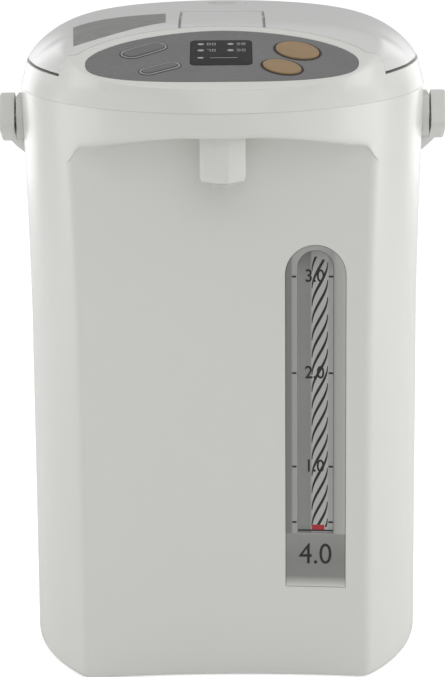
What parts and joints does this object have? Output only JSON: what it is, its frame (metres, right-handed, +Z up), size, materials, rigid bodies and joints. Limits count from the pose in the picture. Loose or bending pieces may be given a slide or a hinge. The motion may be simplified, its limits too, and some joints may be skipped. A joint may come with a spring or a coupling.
{
  "type": "electric thermo pot",
  "caption": "Electric thermo pot with pumped front spout, sloped control panel, level gauge, hinged lid with lever and swinging carry handle.",
  "frame": {"origin": "centre of the pot's bounding box, on the surface that it stands on", "axes": "+Z up, -Y towards the spout and the user, +X to the right as the user sees it"},
  "size_m": [0.247, 0.278, 0.352],
  "materials": {
    "backing_dark": "matt dark grey plastic",
    "base_plastic": "matt grey plastic",
    "board_green": "green circuit board",
    "clear_window": "clear glossy plastic",
    "contact_brass": "brass contacts",
    "dark_plastic": "matt dark plastic",
    "display_dark": "glossy dark display filter",
    "foot_rubber": "matt rubber",
    "frame_silver": "silver-grey paint, satin",
    "handle_plastic": "satin moulded plastic, light grey-white",
    "heater_mica": "mica and foil heater",
    "inner_plastic": "matt moulded plastic, ivory",
    "key_gold": "pearl paint, gold",
    "key_grey": "satin plastic, grey",
    "lid_plastic": "satin moulded plastic, off-white",
    "magnet": "dark ferrite",
    "motor_metal": "zinc plated can",
    "panel_grey": "semi-gloss film, mid grey",
    "parts_black": "black electronic parts",
    "pin_steel": "drawn steel, bright",
    "sheet_steel": "plain sheet steel",
    "silicone": "translucent silicone rubber",
    "tube_glass": "clear glass",
    "vessel_steel": "dark non-stick coated steel",
    "white_plastic": "satin moulded plastic, off-white",
    "wire_red": "insulated wire"
  },
  "bodies": {
    "stand": {"swivel_base": "base_plastic", "foot_ring": "foot_rubber"},
    "lid": {"lid_shell": "lid_plastic", "lid_liner": "inner_plastic", "lid_gasket": "silicone", "vent_cap": "lid_plastic", "vent_trap": "inner_plastic", "tilt_ball": "pin_steel", "lever_pin": "pin_steel", "latch_spring": "pin_steel"},
    "lever": {"lid_lever": "lid_plastic"},
    "latch": {"latch_slider": "inner_plastic"},
    "handle": {"handle_bail": "handle_plastic"},
    "dispense_key": {"dispense_button": "key_gold"},
    "unlock_key": {"unlock_button": "key_gold"},
    "boil_key": {"boil_button": "key_grey"},
    "temperature_key": {"temperature_button": "key_grey"},
    "release_key": {"lid_release": "key_grey"},
    "rotor": {"drive_magnet": "magnet", "motor_shaft": "pin_steel"},
    "impeller": {"impeller": "dark_plastic"},
    "pot": {"body_shell": "white_plastic", "base_cover": "base_plastic", "base_screws": "pin_steel", "swivel_retainer": "pin_steel", "collar": "white_plastic", "control_panel": "panel_grey", "display_window": "display_dark", "display_module": "parts_black", "control_board": "board_green", "key_switches": "parts_black", "spout_cover": "white_plastic", "spout_nozzle": "inner_plastic", "outlet_pipe": "silicone", "gauge_tube": "tube_glass", "gauge_frame": "frame_silver", "gauge_window": "clear_window", "gauge_backing": "backing_dark", "feed_pipe": "silicone", "suction_tube": "silicone", "pump_housing": "dark_plastic", "pump_motor": "motor_metal", "inner_vessel": "vessel_steel", "vessel_seal": "silicone", "mouth_ring": "inner_plastic", "heat_jacket": "sheet_steel", "base_heater": "heater_mica", "band_heater": "heater_mica", "thermistor": "motor_metal", "thermal_fuse": "inner_plastic", "support_bracket": "sheet_steel", "main_board": "board_green", "board_parts": "parts_black", "wire_loom": "wire_red", "inlet_socket": "dark_plastic", "inlet_pins": "contact_brass", "hinge_pin": "pin_steel", "hinge_block": "white_plastic", "handle_pins": "pin_steel", "handle_bosses": "handle_plastic"}
  },
  "joints": [
    {"name": "swivel", "type": "hinge", "parent": "stand", "child": "pot", "pos_m": [0, 0.0015, 0.0065], "axis": [0, 0, 1], "continuous": true},
    {"name": "lid_hinge", "type": "hinge", "parent": "pot", "child": "lid", "pos_m": [0, 0.1095, 0.3315], "axis": [-1, 0, 0], "range_deg": [0, 95]},
    {"name": "lever_lift", "type": "hinge", "parent": "lid", "child": "lever", "pos_m": [0, 0.0095, 0.3484], "axis": [-1, 0, 0], "range_deg": [0, 30], "stiffness_Nm_per_rad": 0.1, "springref_deg": -8.59},
    {"name": "latch_slide", "type": "slide", "parent": "lid", "child": "latch", "axis": [0, 1, 0], "range_m": [0, 0.004]},
    {"name": "handle_swing", "type": "hinge", "parent": "pot", "child": "handle", "pos_m": [0, 0.0015, 0.296], "axis": [1, 0, 0], "range_deg": [0, 170]},
    {"name": "dispense_press", "type": "slide", "parent": "pot", "child": "dispense_key", "axis": [0, 0.274, -0.9617], "range_m": [0, 0.0008], "stiffness_N_per_m": 1500, "springref_m": -0.0005},
    {"name": "unlock_press", "type": "slide", "parent": "pot", "child": "unlock_key", "axis": [0, 0.274, -0.9617], "range_m": [0, 0.0008], "stiffness_N_per_m": 1500, "springref_m": -0.0005},
    {"name": "boil_press", "type": "slide", "parent": "pot", "child": "boil_key", "axis": [0, 0.274, -0.9617], "range_m": [0, 0.0008], "stiffness_N_per_m": 1500, "springref_m": -0.0005},
    {"name": "temperature_press", "type": "slide", "parent": "pot", "child": "temperature_key", "axis": [0, 0.274, -0.9617], "range_m": [0, 0.0008], "stiffness_N_per_m": 1500, "springref_m": -0.0005},
    {"name": "release_press", "type": "slide", "parent": "pot", "child": "release_key", "axis": [0, 0, -1], "range_m": [0, 0.002], "stiffness_N_per_m": 800, "springref_m": -0.001},
    {"name": "rotor_spin", "type": "hinge", "parent": "pot", "child": "rotor", "pos_m": [0.014, -0.0165, 0.03], "axis": [0, 0, 1], "continuous": true},
    {"name": "impeller_spin", "type": "hinge", "parent": "pot", "child": "impeller", "pos_m": [0.014, -0.0165, 0.046], "axis": [0, 0, 1], "continuous": true}
  ],
  "couplings": [
    {"joint": "latch_slide", "follows": "lever_lift", "m_per_rad": 0.00763},
    {"joint": "impeller_spin", "follows": "rotor_spin", "ratio": 1}
  ]
}
